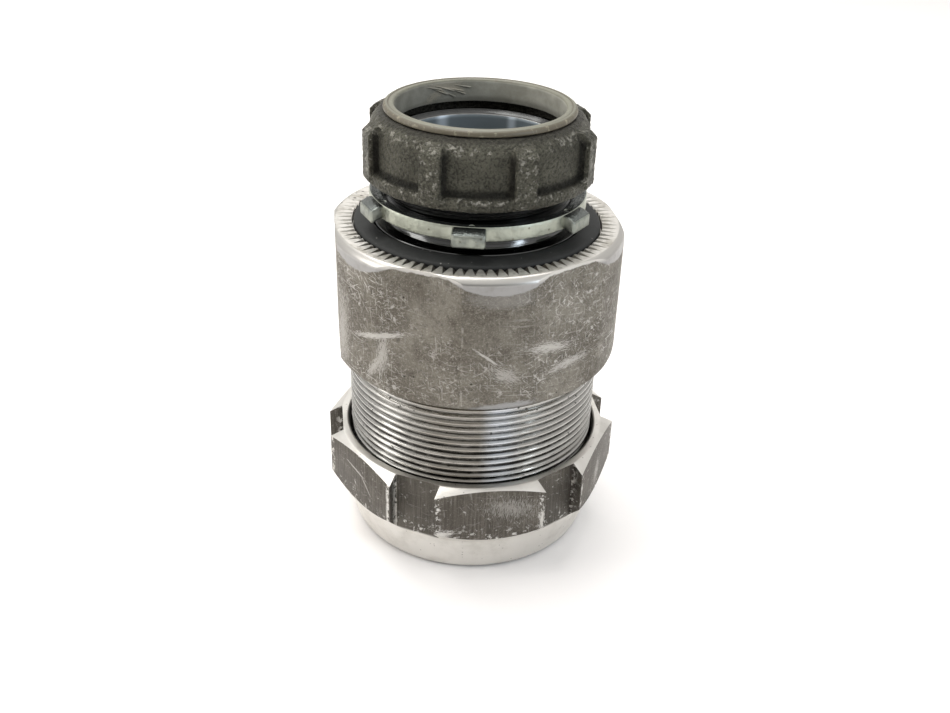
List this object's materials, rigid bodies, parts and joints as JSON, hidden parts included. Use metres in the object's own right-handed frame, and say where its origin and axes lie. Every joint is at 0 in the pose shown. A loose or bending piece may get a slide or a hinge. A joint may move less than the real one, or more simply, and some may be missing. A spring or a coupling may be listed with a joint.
{
  "type": "conduit compression fitting",
  "caption": "Metal compression fitting for armoured cable: hexagonal body, slotted gland nut, threaded hub with locknut and insulated bushing.",
  "frame": {"origin": "on the cable axis, at the lower edge of the gland nut that the fitting stands on", "axes": "+Z along the cable axis from the gland nut to the hub; -Y is the front"},
  "size_m": [0.082, 0.0802, 0.1206],
  "materials": {
    "body_aluminium": "weathered, scratched flats with bright machined edges",
    "nut_aluminium": "weathered, vertical draw marks, pale machined rims",
    "stainless": "bright",
    "neoprene": "matt black",
    "seal_rubber": "dusty black",
    "clamp_zinc": "zinc-plated, satin",
    "spring_wire": "bright wire",
    "stop_nylon": "natural",
    "zinc_plate": "zinc-plated steel, dull rim and dark glossy top",
    "malleable_iron": "rough as cast",
    "liner_plastic": "grey moulded, pale worn rim"
  },
  "bodies": {
    "body": {"fitting_body": "body_aluminium", "face_seal_ring": "seal_rubber", "clamp_ring": "clamp_zinc", "garter_spring": "spring_wire", "armour_stop": "stop_nylon", "snap_ring": "spring_wire"},
    "gland_pack": {"slip_washer": "stainless", "gland_seal": "neoprene"},
    "gland_nut": {"gland_nut": "nut_aluminium"},
    "locknut": {"locknut": "zinc_plate"},
    "bushing_liner": {"bushing_liner": "liner_plastic"},
    "bushing_shell": {"bushing_shell": "malleable_iron"}
  },
  "joints": [
    {"name": "gland_travel", "type": "slide", "parent": "body", "child": "gland_pack", "axis": [0, 0, 1], "range_m": [-0.0081, 0.0061]},
    {"name": "gland_nut_turn", "type": "hinge", "parent": "gland_pack", "child": "gland_nut", "pos_m": [0, 0, 0.0151], "axis": [0, 0, 1], "range_deg": [-1440, 1080]},
    {"name": "locknut_turn", "type": "hinge", "parent": "body", "child": "locknut", "pos_m": [0, 0, 0.0969], "axis": [0, 0, 1], "range_deg": [-390, 570]},
    {"name": "bushing_travel", "type": "slide", "parent": "body", "child": "bushing_liner", "axis": [0, 0, 1], "range_m": [-0.0014, 0.0071]},
    {"name": "bushing_turn", "type": "hinge", "parent": "bushing_liner", "child": "bushing_shell", "pos_m": [0, 0, 0.1108], "axis": [0, 0, 1], "range_deg": [-225, 1140]}
  ],
  "couplings": [
    {"joint": "gland_travel", "follows": "gland_nut_turn", "m_per_rad": 0.00031831},
    {"joint": "bushing_travel", "follows": "bushing_turn", "m_per_rad": 0.00035157}
  ]
}
